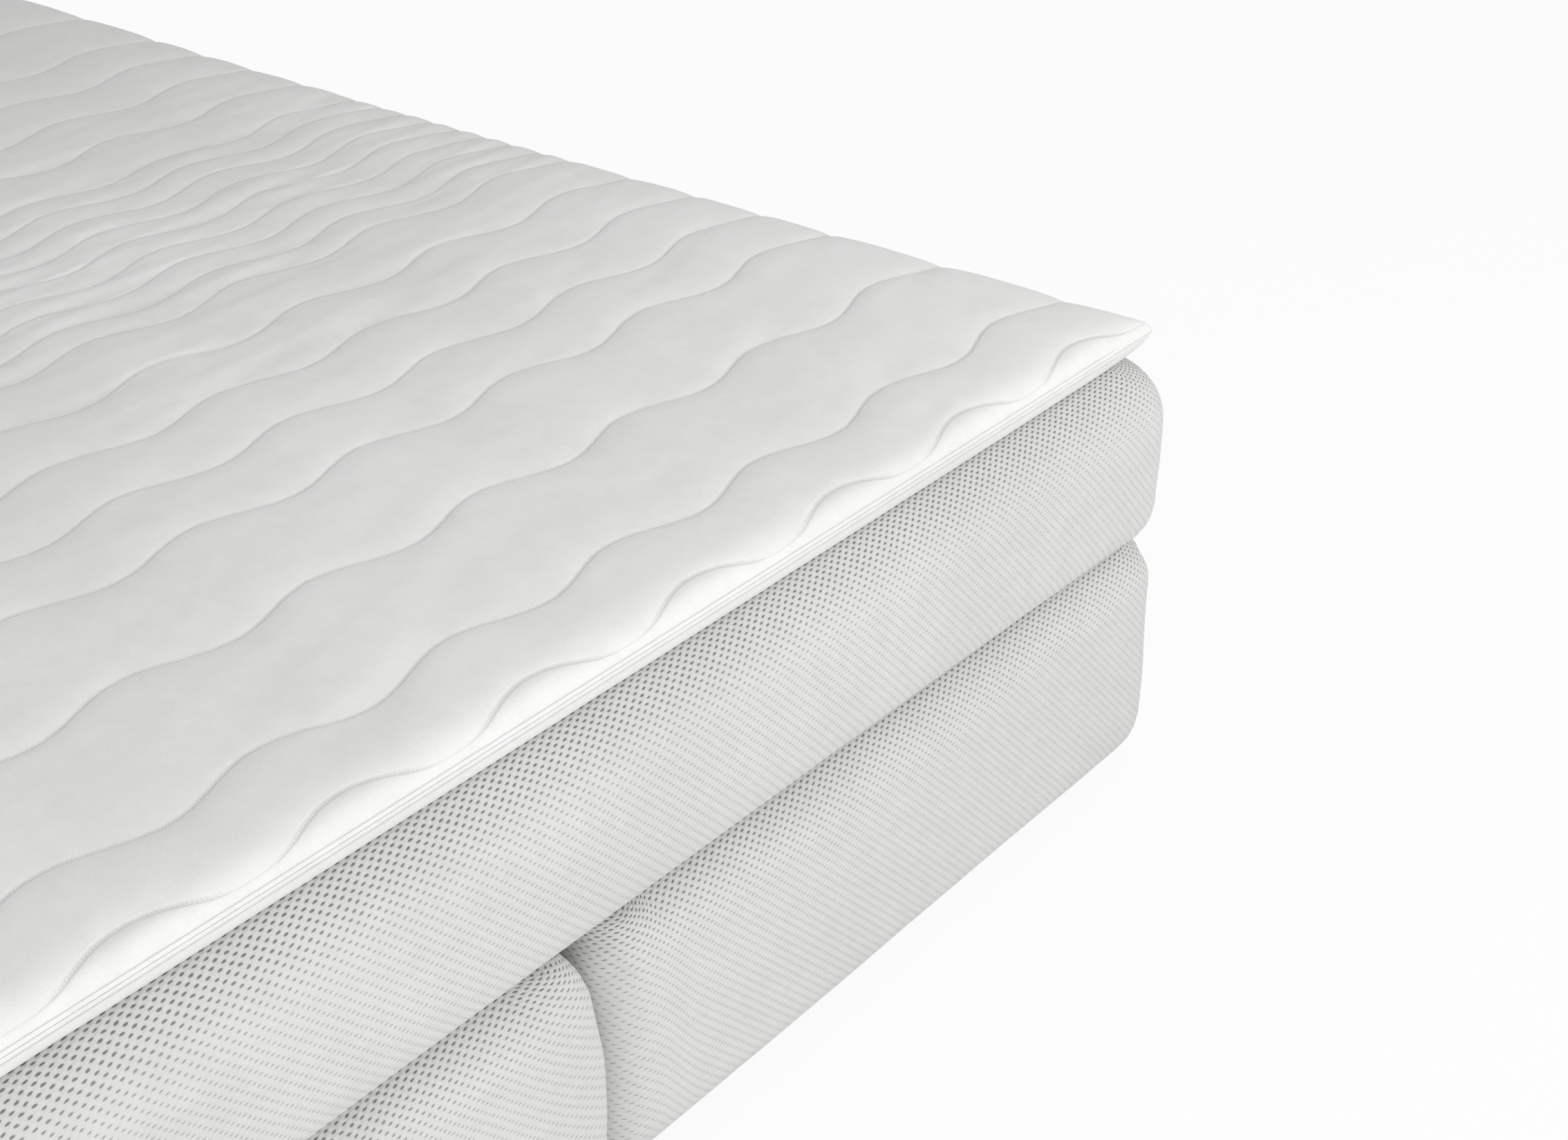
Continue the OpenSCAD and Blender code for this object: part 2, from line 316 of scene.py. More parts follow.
def quilted_knit():
    """White knit; from_stitch is the distance to the nearest line of stitching."""
    m, s, shader = material("quilted_knit", roughness=0.88, sheen=0.2, specular=0.2)
    where = place_of(s)
    x, _, _ = s.split(where)
    away = s.node("ShaderNodeAttribute", attribute_name="from_stitch").outputs["Fac"]
    mottle = mottled(s, where, 2.2, 40.0)
    darker, lighter = (0.835, 0.830, 0.820, 1), (0.885, 0.882, 0.876, 1)
    groove_shade, thread_tone = (0.60, 0.59, 0.575, 1), (0.86, 0.855, 0.85, 1)
    loop_hollow_shade = (0.55, 0.54, 0.53, 1)
    stitch_pitch = 0.0034
    cloth = s.mix(s.ramp(mottle, 0.35, 0.65), darker, lighter)
    # short raised loops of the knit, about 2.6 mm long, laid in broken rows
    loops = s.node("ShaderNodeTexVoronoi", feature="F1", distance="EUCLIDEAN")
    s.put(loops.inputs["Vector"], s.stretch(where, (390, 720, 560)))
    loops.inputs["Scale"].default_value = 1.0
    loops.inputs["Randomness"].default_value = 0.55
    raised = s.ramp(loops.outputs["Distance"], 0.75, 0.1)
    fuzz = s.noise(where, 1400.0, 2.0)
    # stitches lie in the seam line
    line = s.ramp(away, 0.0016, 0.0004)
    tick = s.math("FRACT", s.math("DIVIDE", x, stitch_pitch))
    from_middle = s.math("ABSOLUTE", s.math("SUBTRACT", tick, 0.5))
    stitch = s.math("MULTIPLY", line, s.ramp(from_middle, 0.42, 0.34))
    # painted shade: the cloth is darkened along the groove at each stitch line
    cloth = s.mix(s.math("MULTIPLY", s.ramp(away, 0.0045, 0.0), 0.20), cloth, groove_shade)
    cloth = s.mix(s.math("MULTIPLY", stitch, 0.5), cloth, thread_tone)
    # painted shade: the hollows between the knit's raised loops are darkened a little
    hollow = s.math("SUBTRACT", 1.0, raised)
    cloth = s.mix(s.math("MULTIPLY", hollow, 0.06), cloth, loop_hollow_shade)
    s.put(shader.inputs["Base Color"], cloth)
    height = s.weighted((raised, 0.10), (fuzz, 0.10), (s.ramp(away, 0.004, 0.0), -1.1),
                        (stitch, 0.35))
    bump(s, shader, height, 0.001, 0.8)
    return m


def plain_knit(name, tone, fine):
    m, s, shader = material(name, roughness=0.9, sheen=0.15, specular=0.2)
    where = place_of(s)
    mottle = mottled(s, where, 5.0, 90.0)
    s.put(shader.inputs["Base Color"],
          s.mix(s.ramp(mottle, 0.35, 0.65), grey(tone * 0.94, 0.006), grey(tone, 0.004)))
    rib = s.math("SINE", s.math("MULTIPLY", s.split(where)[2], fine * 6.0))
    height = s.math("ADD", s.math("MULTIPLY", rib, 0.12), s.noise(where, fine, 2.0))
    bump(s, shader, height, 0.0004, 0.6)
    return m


def foam(name, light, dark, cell=420.0):
    m, s, shader = material(name, roughness=0.95, specular=0.15)
    where = place_of(s)
    cells = s.node("ShaderNodeTexVoronoi", feature="F1")
    s.put(cells.inputs["Vector"], where)
    cells.inputs["Scale"].default_value = cell
    mottle = mottled(s, where, 6.0, 120.0)
    tone = s.mix(s.ramp(mottle, 0.3, 0.7), dark, light)
    pits = s.ramp(cells.outputs["Distance"], 0.55, 0.1)
    # painted shade: the foam's pits are darkened a little
    s.put(shader.inputs["Base Color"], s.mix(s.math("MULTIPLY", pits, 0.15), tone, dark))
    bump(s, shader, s.math("MULTIPLY", pits, -1.0), 0.0006, 0.7)
    return m


def fleece(name):
    m, s, shader = material(name, roughness=0.97, sheen=0.3, specular=0.1)
    where = place_of(s)
    strands = s.noise(s.stretch(where, (90, 900, 500), (0, 0, 0.5)), 1.0, 4.0)
    cross = s.noise(s.stretch(where, (800, 110, 500), (0, 0, 0.2)), 1.0, 4.0)
    both = s.math("ADD", strands, cross)
    s.put(shader.inputs["Base Color"], s.mix(s.ramp(both, 0.7, 1.3), grey(0.76), grey(0.88)))
    bump(s, shader, both, 0.0015, 0.8)
    return m


def timber(name, light, dark, turn=(0, 0, 0)):
    m, s, shader = material(name, roughness=0.6, specular=0.35)
    where = place_of(s)
    bands = s.noise(s.stretch(where, (14, 1.2, 14), turn), 3.0, 5.0, 0.6)
    fine = s.noise(s.stretch(where, (320, 12, 320), turn), 1.0, 3.0)
    tone = s.mix(s.ramp(bands, 0.32, 0.68), dark, light)
    tone = s.mix(s.math("MULTIPLY", s.ramp(fine, 0.45, 0.7), 0.35), tone, dark)
    s.put(shader.inputs["Base Color"], tone)
    s.put(shader.inputs["Roughness"], s.ramp(fine, 0.2, 0.8, 0.5, 0.72))
    bump(s, shader, s.math("ADD", s.math("MULTIPLY", bands, 0.5), fine), 0.0004, 0.5)
    return m


def lining(name, tone):
    """Spunbonded lining with its grid of tiny heat-pressed dimples."""
    m, s, shader = material(name, roughness=0.8, sheen=0.1, specular=0.25)
    where = place_of(s)
    x, y, _ = s.split(where)
    dimple_turns = 2600.0
    a = s.math("SINE", s.math("MULTIPLY", x, dimple_turns))
    b = s.math("SINE", s.math("MULTIPLY", y, dimple_turns))
    dimple = s.ramp(s.math("MULTIPLY", a, b), 0.35, 0.8)
    mottle = mottled(s, where, 9.0, 260.0)
    s.put(shader.inputs["Base Color"],
          s.mix(s.ramp(mottle, 0.3, 0.7), grey(tone * 0.8), grey(tone * 1.25)))
    bump(s, shader, s.math("ADD", s.math("MULTIPLY", dimple, -0.6), mottle), 0.0003, 0.6)
    return m


def metal(name, tone, roughness):
    m, s, shader = material(name, roughness=roughness, metallic=1.0, specular=0.5)
    where = place_of(s)
    brush = s.noise(s.stretch(where, (4000, 300, 4000)), 1.0, 3.0)
    mottle = mottled(s, where, 60.0, 900.0)
    s.put(shader.inputs["Base Color"],
          s.mix(s.ramp(mottle, 0.3, 0.7), grey(tone * 0.85), grey(tone)))
    s.put(shader.inputs["Roughness"], s.ramp(brush, 0.3, 0.7, roughness - 0.08, roughness + 0.1))
    bump(s, shader, brush, 0.00005, 0.4)
    return m


def moulded(name, tone, roughness):
    m, s, shader = material(name, roughness=roughness, specular=0.4)
    where = place_of(s)
    pebbles = s.noise(where, 1800.0, 2.0)
    mottle = mottled(s, where, 20.0, 300.0)
    s.put(shader.inputs["Base Color"],
          s.mix(s.ramp(mottle, 0.3, 0.7), grey(tone), grey(tone * 1.3)))
    s.put(shader.inputs["Roughness"], s.ramp(mottle, 0.3, 0.7, roughness - 0.06, roughness + 0.1))
    bump(s, shader, pebbles, 0.0001, 0.4)
    return m


def coil_teeth(name):
    m, s, shader = material(name, roughness=0.4, specular=0.45)
    tooth_pitch = 0.0014
    x, y, _ = s.split(place_of(s))
    along = s.math("ADD", x, y)
    tooth = s.math("SINE", s.math("MULTIPLY", along, 2 * math.pi / tooth_pitch))
    # painted shade between the coil's teeth, lighter on their crests
    s.put(shader.inputs["Base Color"], s.mix(s.ramp(tooth, -0.4, 0.6), grey(0.55), grey(0.80)))
    bump(s, shader, tooth, 0.0003, 0.9)
    return m


def thread(name):
    """Seam thread, plied and cut into stitches along its length."""
    m, s, shader = material(name, roughness=0.7, sheen=0.2)
    stitch_pitch, ply_turns = 0.0036, 9000.0
    u, v, _ = s.split(s.node("ShaderNodeUVMap", uv_map="weave").outputs[0])
    tick = s.math("FRACT", s.math("DIVIDE", u, stitch_pitch))
    gap = s.ramp(s.math("ABSOLUTE", s.math("SUBTRACT", tick, 0.5)), 0.36, 0.44)
    ply = s.math("SINE", s.math("MULTIPLY_ADD", u, ply_turns, s.math("MULTIPLY", v, ply_turns)))
    # painted shade: the gaps between stitches, where the thread dips into the cloth, are darker
    s.put(shader.inputs["Base Color"],
          s.mix(gap, (0.86, 0.855, 0.845, 1), (0.74, 0.735, 0.725, 1)))
    bump(s, shader, s.weighted((ply, 0.25), (gap, -1.0)), 0.0003, 0.8)
    return m


FINISH = {
    "quilted_knit": quilted_knit(),
    "upholstery": upholstery_cloth(),
    "wadding": fleece("polyester_wadding"),
    "memory_foam": foam("memory_foam", (0.86, 0.80, 0.62, 1), (0.74, 0.66, 0.46, 1), 520.0),
    "transition_foam": foam("transition_foam", (0.66, 0.76, 0.86, 1), (0.52, 0.64, 0.76, 1)),
    "support_foam": foam("support_foam", (0.80, 0.82, 0.84, 1), (0.66, 0.69, 0.73, 1)),
    "padding_foam": foam("padding_foam", (0.84, 0.82, 0.72, 1), (0.70, 0.68, 0.58, 1), 360.0),
    "zip_tape": plain_knit("zip_tape", 0.80, 900.0),
    "zip_coil": coil_teeth("zip_coil"),
    "thread": thread("seam_thread"),
    "zip_metal": metal("zip_metal", 0.62, 0.32),
    "lining": lining("spunbond_lining", 0.035),
    "timber": timber("sawn_pine", (0.62, 0.44, 0.25, 1), (0.46, 0.29, 0.14, 1)),
    "slat_wood": timber("birch_slats", (0.74, 0.57, 0.36, 1), (0.58, 0.41, 0.23, 1),
                        (0, 0, math.pi / 2)),
    "glide_plastic": moulded("glide_plastic", 0.022, 0.5),
    "steel": metal("zinc_steel", 0.56, 0.36),
}
for part in frame["record"]["subparts"]:
    mesh = nodes[part["node"]].data
    mesh.materials.clear()
    mesh.materials.append(FINISH[part["material_slot"]])


# ---------------------------------------------------------------- mesh helpers
def only(piece):
    bpy.ops.object.select_all(action="DESELECT")
    piece.select_set(True)
    bpy.context.view_layer.objects.active = piece


def cloth_grid(name, across, up):
    """A flat grid of cells, with each vertex's column and row. Its maker lays the vertices."""
    bpy.ops.object.select_all(action="DESELECT")
    bpy.ops.mesh.primitive_grid_add(x_subdivisions=across, y_subdivisions=up, size=1)
    piece = bpy.context.object
    piece.name = name
    piece.data.name = name
    co = np.empty(len(piece.data.vertices) * 3)
    piece.data.vertices.foreach_get("co", co)
    co = co.reshape(-1, 3)
    column = np.rint((co[:, 0] + 0.5) * across).astype(int)
    row = np.rint((co[:, 1] + 0.5) * up).astype(int)
    return piece, column, row


def lay_points(piece, points):
    piece.data.vertices.foreach_set("co", np.asarray(points, float).ravel())
    piece.data.update()


def lay_uv(piece, uv):
    """One UV for each vertex, before any vertices are merged."""
    while piece.data.uv_layers:
        piece.data.uv_layers.remove(piece.data.uv_layers[0])
    layer = piece.data.uv_layers.new(name="weave")
    loops = np.empty(len(piece.data.loops), int)
    piece.data.loops.foreach_get("vertex_index", loops)
    layer.data.foreach_set("uv", uv[loops].ravel())


def paint(piece, name, values):
    a = piece.data.attributes.new(name, "FLOAT", "POINT")
    a.data.foreach_set("value", np.asarray(values, np.float32))


def soft_noise(points, scale, seed):
    """Smooth noise at each point, from -1 to 1. scale is the size of a lump along each axis."""
    sx, sy, sz = scale
    return np.array([noise.noise(Vector((x / sx + seed, y / sy - seed, z / sz + 2 * seed)))
                     for x, y, z in points])


def smooth(piece, angle=180):
    only(piece)
    bpy.ops.object.shade_smooth_by_angle(angle=math.radians(angle), keep_sharp_edges=False)


def weld(piece):
    """Merges the grid's ends and its collapsed rows, so that the block is closed."""
    only(piece)
    bpy.ops.object.mode_set(mode="EDIT")
    bpy.ops.mesh.select_all(action="SELECT")
    bpy.ops.mesh.remove_doubles(threshold=0.00004)
    bpy.ops.mesh.dissolve_degenerate(threshold=0.00001)
    bpy.ops.mesh.normals_make_consistent(inside=False)
    bpy.ops.mesh.select_all(action="DESELECT")
    bpy.ops.object.mode_set(mode="OBJECT")


def finish_piece(piece, body, slot, covers):
    piece.data.materials.clear()
    piece.data.materials.append(FINISH[slot])
    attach(piece, body)
    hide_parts(*covers)


def bell(x):
    return np.exp(-x * x)


def step(x):
    """0 below 0, 1 above 1, and a smooth rise between."""
    t = np.clip(x, 0, 1)
    return t * t * (3 - 2 * t)


# ---------------------------------------------------------------- upholstered tiers
def outline(width, length):
    """Points round a rounded rectangle: an anchor on the inner rectangle, as a share of its
    half sides, an outward direction, and the distance walked. It starts at the middle of the
    head side."""
    radius = TIER_CORNER
    run_x, run_y = width - 2 * radius, length - 2 * radius
    nx, ny = max(8, round(run_x / OUTLINE_STEP)), max(8, round(run_y / OUTLINE_STEP))
    anchors, ways, walked = [], [], []
    s = 0.0

    def straight(a, b, way, n, run):
        nonlocal s
        for k in range(n):
            t = k / n
            anchors.append((a[0] + (b[0] - a[0]) * t, a[1] + (b[1] - a[1]) * t))
            ways.append(way)
            walked.append(s + run * t)
        s += run

    def turn(corner, start):
        nonlocal s
        for k in range(TURN_COLUMNS):
            angle = start + math.pi / 2 * k / TURN_COLUMNS
            anchors.append(corner)
            ways.append((math.cos(angle), math.sin(angle)))
            walked.append(s + radius * math.pi / 2 * k / TURN_COLUMNS)
        s += radius * math.pi / 2

    straight((0, 1), (-1, 1), (0, 1), nx // 2, run_x / 2)
    turn((-1, 1), math.pi / 2)
    straight((-1, 1), (-1, -1), (-1, 0), ny, run_y)
    turn((-1, -1), math.pi)
    straight((-1, -1), (1, -1), (0, -1), nx, run_x)
    turn((1, -1), 1.5 * math.pi)
    straight((1, -1), (1, 1), (1, 0), ny, run_y)
    turn((1, 1), 0.0)
    straight((1, 1), (0, 1), (0, 1), nx // 2, run_x / 2)
    anchors.append((0, 1))
    ways.append((0, 1))
    walked.append(s)
    return np.array(anchors, float), np.array(ways, float), np.array(walked)


def flank(height, shoulder, heel, reach):
    """Inset and height of each row, from the middle of the underside to the middle of the top."""
    rows = [(reach, 0.0), (reach * 0.7, 0.0), (reach * 0.42, 0.0), (reach * 0.22, 0.0),
            (heel + 0.05, 0.0), (heel + 0.02, 0.0)]
    for k in range(8):
        a = math.pi / 2 * k / 8
        rows.append((heel * (1 - math.sin(a)), heel * (1 - math.cos(a))))
    rise = height - shoulder - heel
    for k in range(11):
        rows.append((0.0, heel + rise * k / 11))
    for k in range(11):
        a = math.pi / 2 * k / 10
        rows.append((shoulder * (1 - math.cos(a)), height - shoulder * (1 - math.sin(a))))
    for extra in (0.012, 0.028, 0.048, 0.075, 0.11, 0.16):
        rows.append((shoulder + extra, height))
    for share in (0.35, 0.5, 0.65, 0.8, 0.92, 1.0):
        if reach * share > shoulder + 0.2:
            rows.append((reach * share, height))
    return np.array(rows)


def press_side(x, y, z, size, pressed):
    """The side against the neighbour is squeezed flat and its corners are nearly square.
    pressed is 1 for the side towards +X and -1 for the side towards -X."""
    width, length, height = size
    radius, share = TIER_CORNER, z / height
    a = (x * pressed - (width / 2 - radius)) / radius
    b = (np.abs(y) - (length / 2 - radius)) / radius
    r = np.hypot(a, b)
    there = (a > 0) & (b > 0) & (r > 0.05)
    a1 = np.where(there, a / np.maximum(r, 0.05), 1)
    b1 = np.where(there, b / np.maximum(r, 0.05), 0)
    squareness = 6.0 if pressed > 0 else 4.5
    grow = 1 / (a1 ** squareness + b1 ** squareness) ** (1 / squareness) - 1
    # the shoulder is packed out hard in these two corners
    middle = np.clip(2 * a1 * b1, 0, 1)
    packed = np.where(there & (r > 0.35), np.clip(1 - r, 0, 1) * 0.7 * middle, 0)
    packed = packed * step((share - 0.45) / 0.2)
    grow = grow + packed / np.maximum(r, 0.3)
    grow = grow * step(r / 0.6) * (0.86 + 0.14 * step((height - z - 0.02) / 0.09))
    x = np.where(there, x + pressed * a * grow * radius, x)
    y = np.where(there, y + np.sign(y) * b * grow * radius, y)
    reach = step((x * pressed - (width / 2 - 0.12)) / 0.10)
    lean = 0.004 if pressed > 0 else 0.019
    return x + lean * reach * np.sin(np.pi * np.clip(share, 0, 1)) ** 0.5, y


def upholstered(name, lo, hi, shoulder, heel, bulge, seed, tuck=0.0, sag=0.0, pressed=0):
    """A padded block in one wrapped cloth, crowned between rounded edges. tuck is the depth of
    the gather down each corner, sag is how far the heel is drawn under, and pressed is the side
    squeezed against a neighbour."""
    width, length, height = hi.x - lo.x, hi.y - lo.y, hi.z - lo.z
    cx, cy = (hi.x + lo.x) / 2, (hi.y + lo.y) / 2
    radius = TIER_CORNER
    anchors, ways, walked = outline(width, length)
    rows = flank(height, shoulder, heel, width / 2)
    climbed = np.concatenate([[0], np.cumsum(np.hypot(*np.diff(rows, axis=0).T))])
    piece, col, row = cloth_grid(name, len(anchors) - 1, len(rows) - 1)
    laid, z = rows[row, 0], rows[row, 1]
    anchor, way = anchors[col], ways[col]
    share = z / height
    side = np.sin(np.pi * np.clip(share, 0, 1)) ** 0.8
    on_side = step((FACE_INSET - laid) / 0.06)
    # straight runs crown outward a little more than the corners do
    along = np.maximum(np.abs(anchor[:, 0]) * (np.abs(way[:, 1]) > 0.99),
                       np.abs(anchor[:, 1]) * (np.abs(way[:, 0]) > 0.99))
    corner = np.abs(anchor).min(axis=1) > 0.999
    along = np.where(corner, 1.0, along)
    crown = bulge * (1 - 0.25 * along ** 6)
    # away from the corners the heel is drawn further under
    under = step((FACE_INSET - laid) / 0.02) * np.clip(1 - share / 0.42, 0, 1) ** 2
    inset = laid - crown * side * on_side + sag * (1 - along ** 2) * under
    core = np.maximum(radius, inset)
    x = anchor[:, 0] * (width / 2 - core) + way[:, 0] * np.maximum(radius - inset, 0)
    y = anchor[:, 1] * (length / 2 - core) + way[:, 1] * np.maximum(radius - inset, 0)
    points = np.stack([x, y, z], 1)
    lumps = (soft_noise(points, (0.34, 0.34, 0.12), seed) * 0.0026
             + soft_noise(points, (0.12, 0.12, 0.05), seed + 7) * 0.0012
             + soft_noise(points, (0.045, 0.045, 0.03), seed + 3) * 0.00045)
    push = lumps * on_side * np.clip(side * 1.3, 0, 1)
    if tuck:
        # the cloth is gathered in a tuck down from the top of each corner
        middle = np.where(corner, np.abs(np.abs(way[:, 0]) - np.abs(way[:, 1])), 1.0)
        down = step((share - 0.62) / 0.3) * step((0.09 - laid) / 0.05)
        push = push - tuck * bell(middle / 0.16) * down
        push = push + tuck * 0.45 * bell((middle - 0.42) / 0.2) * down
    x = x + way[:, 0] * push
    y = y + way[:, 1] * push
    if pressed:
        x, y = press_side(x, y, z, (width, length, height), pressed)
    # slight hollows in the flat top, and a soft roll to its shoulder
    hollow = np.minimum(0, soft_noise(points, (0.3, 0.3, 0.3), seed + 1) * 0.0006)
    z = z + np.where(inset > shoulder, hollow, 0)
    dip = soft_noise(points, (0.16, 0.16, 0.2), seed + 11) * 0.0012
    z = z + dip * step((share - 0.75) / 0.15) * step((shoulder * 0.8 - laid) / 0.02)
    z = np.clip(z, 0.0, height - 0.0002)
    lay_points(piece, np.stack([x + cx, y + cy, z + lo.z], 1))
    lay_uv(piece, np.stack([walked[col], climbed[row]], 1))
    # the shoulder mask: the slots open here, and the cloth paints them darker here as shade
    paint(piece, "taut_and_shade", step((share - 0.70) / 0.24) * step((laid + 0.02) / 0.06))
    weld(piece)
    smooth(piece)
    return piece


mattress = upholstered("mattress_tier", TIER_LO, TIER_HI, shoulder=0.060, heel=0.046,
                       bulge=0.006, seed=2.0, sag=0.014)
finish_piece(mattress, "mattress", "upholstery", ("mattress_cover", "mattress_wadding"))

for side, seed in (("left", 31.0), ("right", 47.0)):
    lo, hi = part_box("base_%s_cover" % side)
    block = upholstered("base_%s_box" % side, lo, hi, shoulder=0.052, heel=0.052, bulge=0.007,
                        seed=seed, tuck=0.003, pressed=1 if side == "left" else -1)
    finish_piece(block, "base", "upholstery", ("base_%s_cover" % side, "base_%s_padding" % side))


# ---------------------------------------------------------------- quilted topper
def seam_lines():
    """Quilt lines across the topper: close in the middle, then in wider and wider zones."""
    steps = [0.0465] * 4 + [0.0995] * 4 + [0.152, 0.160, 0.092]
    towards_foot = 0.004
    half = np.cumsum(steps)
    return np.concatenate([-half[::-1], [0.0], half]) - towards_foot


def column_stations():
    edge = np.array([0, 0.0012, 0.003, 0.006, 0.010, 0.015, 0.021, 0.028, 0.036, 0.045])
    inner = np.linspace(-HALF_W + 0.053, HALF_W - 0.053, 220)
    return np.concatenate([-HALF_W + edge, inner, (HALF_W - edge)[::-1]])


def row_stations(lines):
    """Each row's seam, its offset from that seam, and how far it is, as a share, from the
    topper's edge to the first or the last seam."""
    close_to_seam = (0.0018, 0.0042, 0.008, 0.0135, 0.021, 0.031, 0.043, 0.058, 0.074)
    edge_shares = [0, 0.06, 0.16, 0.3, 0.46, 0.64, 0.84]

    def between(gap):
        out = [0.0] + [d for d in close_to_seam if d < gap / 2 - 0.003]
        return out + [gap / 2] + [gap - d for d in reversed(out[1:])]

    rows = [(lines[0], 0.0, e) for e in edge_shares]
    for a, b in zip(lines[:-1], lines[1:]):
        for d in between(b - a):
            rows.append((b, d - (b - a), 1.0) if d > (b - a) / 2 else (a, d, 1.0))
    rows.append((lines[-1], 0.0, 1.0))
    rows += [(lines[-1], 0.0, e) for e in reversed(edge_shares)]
    return np.array(rows).T


def soft_max(a, b):
    """The greater of two lengths, blended over about 4 mm where they are equal."""
    return (a + b + np.sqrt((a - b) ** 2 + 0.004 ** 2)) / 2


def from_corner(x, y):
    return np.hypot(HALF_W - np.abs(x), HALF_L - np.abs(y))


def nose(x, y, z, draw):
    """The seam is drawn out, and a little up, to a small point at each corner."""
    pull = np.exp(-(from_corner(x, y) / 0.035) ** 1.3) * draw
    return x + np.sign(x) * 0.013 * pull, y + np.sign(y) * 0.008 * pull, z + 0.007 * pull


def round_plan(x, y):
    """Grid corners are drawn in to a small round."""
    radius = LID_CORNER
    a = np.clip((np.abs(x) - (HALF_W - radius)) / radius, 0, 1)
    b = np.clip((np.abs(y) - (HALF_L - radius)) / radius, 0, 1)
    both = (a > 0) & (b > 0)
    nx = (HALF_W - radius) + radius * a * np.sqrt(1 - b * b / 2)
    ny = (HALF_L - radius) + radius * b * np.sqrt(1 - a * a / 2)
    return np.where(both, np.sign(x) * nx, x), np.where(both, np.sign(y) * ny, y)


def inward(x, y):
    """Distance in from the topper's edge, less where two edges meet."""
    blend = 2.2
    a = np.maximum(HALF_W - np.abs(x), 1e-6)
    b = np.maximum(HALF_L - np.abs(y), 1e-6)
    return (a ** -blend + b ** -blend) ** (-1 / blend)


def roll(e, width, power):
    """Rise from the seam to the flat, as a share, at a distance e in from the edge."""
    t = np.clip(1 - e / width, 0, 1)
    return (1 - t ** power) ** (1 / power)


def lip(y):
    """Half the zip's opening: the flaps meet everywhere but along the head, where it is pulled."""
    return 0.0002 + 0.0024 * step((y - (HALF_L - 0.016)) / 0.012)


def close_lid(piece, fold):
    """Folds the lid's rim in to the zip and closes it with a flat web behind the tape."""
    depth = 0.0024
    only(piece)
    bpy.ops.object.mode_set(mode="EDIT")
    bpy.ops.mesh.select_mode(type="EDGE")
    bpy.ops.mesh.select_all(action="DESELECT")
    bpy.ops.mesh.select_non_manifold(extend=False, use_wire=False, use_boundary=True,
                                     use_multi_face=False, use_non_contiguous=False,
                                     use_verts=False)
    bpy.ops.mesh.extrude_region_move()
    bpy.ops.transform.resize(value=(1 - depth / HALF_W, 1 - depth / HALF_L, 1),
                             center_override=(0, 0, ZIP_Z))
    bpy.ops.transform.translate(value=(0, 0, fold))
    bpy.ops.mesh.edge_face_add()
    bpy.ops.mesh.select_all(action="SELECT")
    bpy.ops.mesh.normals_make_consistent(inside=False)
    bpy.ops.mesh.select_all(action="DESELECT")
    bpy.ops.object.mode_set(mode="OBJECT")


def quilted_lid():
    lines = seam_lines()
    xs = column_stations()
    seams, offs, shares = row_stations(lines)
    piece, col, row = cloth_grid("topper_quilted_cover", len(xs) - 1, len(seams) - 1)
    x, off, share = xs[col], np.abs(offs[row]), shares[row]
    swing = WAVE_SWING * np.cos(2 * math.pi * (x + WAVE_SHIFT) / WAVE_LENGTH)
    place = (seams + offs)[row]
    # the first and last lines run down over the edge between their crests
    foot_half = place < 0
    room = 0.003 + 0.3 * off
    inset = np.where(foot_half, soft_max(place + swing + HALF_L, room),
                     soft_max(HALF_L - place - swing, room)) * share
    y = np.where(foot_half, inset - HALF_L, HALF_L - inset)
    to_line = inset / np.maximum(share, 0.01) * (1 - share)
    away = np.where(share < 1, to_line, off)
    gap = np.interp(place, (lines[1:] + lines[:-1]) / 2, np.diff(lines))
    x0, y0 = round_plan(x, y)
    e = inward(x, y)
    rise = roll(e, 0.040, 2.4)
    flat = np.stack([x, y, np.zeros_like(x)], 1)
    # pillows between the lines, pinched hard at the stitching and fuller in the wide zones
    full = 0.0030 + 0.0030 * np.clip((gap - 0.045) / 0.1, 0, 1)
    dome = 0.75 + 0.25 * np.sin(math.pi * np.clip(away / gap, 0, 0.5))
    pillow = full * (1 - np.exp(-away / 0.010)) * dome
    pillow = pillow * (0.92 + 0.25 * soft_noise(flat, (0.11, 0.06, 1), 5.0))
    # short puckers run away from the stitching, long soft creases cross the pillows
    pucker = soft_noise(flat, (0.011, 0.05, 1), 9.0) * 0.0011
    pucker = pucker * np.exp(-away / 0.014) * step(away / 0.0018)
    skewed = np.stack([x + 0.6 * y, y - 0.25 * x, 0 * x], 1)
    crease = -0.0034 * np.clip(soft_noise(skewed, (0.20, 0.045, 1), 13.0) - 0.10, 0, 1)
    # the close lines in the middle gather the cloth in bunches
    middle = bell((place + 0.05) / 0.36)
    bunch = 0.0034 * soft_noise(flat, (0.16, 0.022, 1), 17.0) * middle * step(away / 0.006)
    broad = 0.0013 * soft_noise(flat, (0.45, 0.5, 1), 21.0) * step(e / 0.06)
    # the cover lies higher towards the head
    lift = 0.0100 * step((y - 0.15) / 0.9)
    seam = ZIP_Z + lip(y)
    body = (TOPPER_TOP - 0.0005 - seam) + lift + broad
    clear = step(e / 0.03)
    z = seam + rise * body + (pillow - 0.0016 + pucker + crease + bunch) * clear
    z = z + pillow * (1 - clear) * rise * 0.8
    z = np.maximum(z, seam)
    lay_points(piece, np.stack(nose(x0, y0, z, 1 - rise), 1))
    lay_uv(piece, np.stack([x, place], 1))
    paint(piece, "from_stitch", away + 0.004 * (1 - step(e / 0.009)))
    close_lid(piece, -0.0002)
    smooth(piece, 50)
    return piece


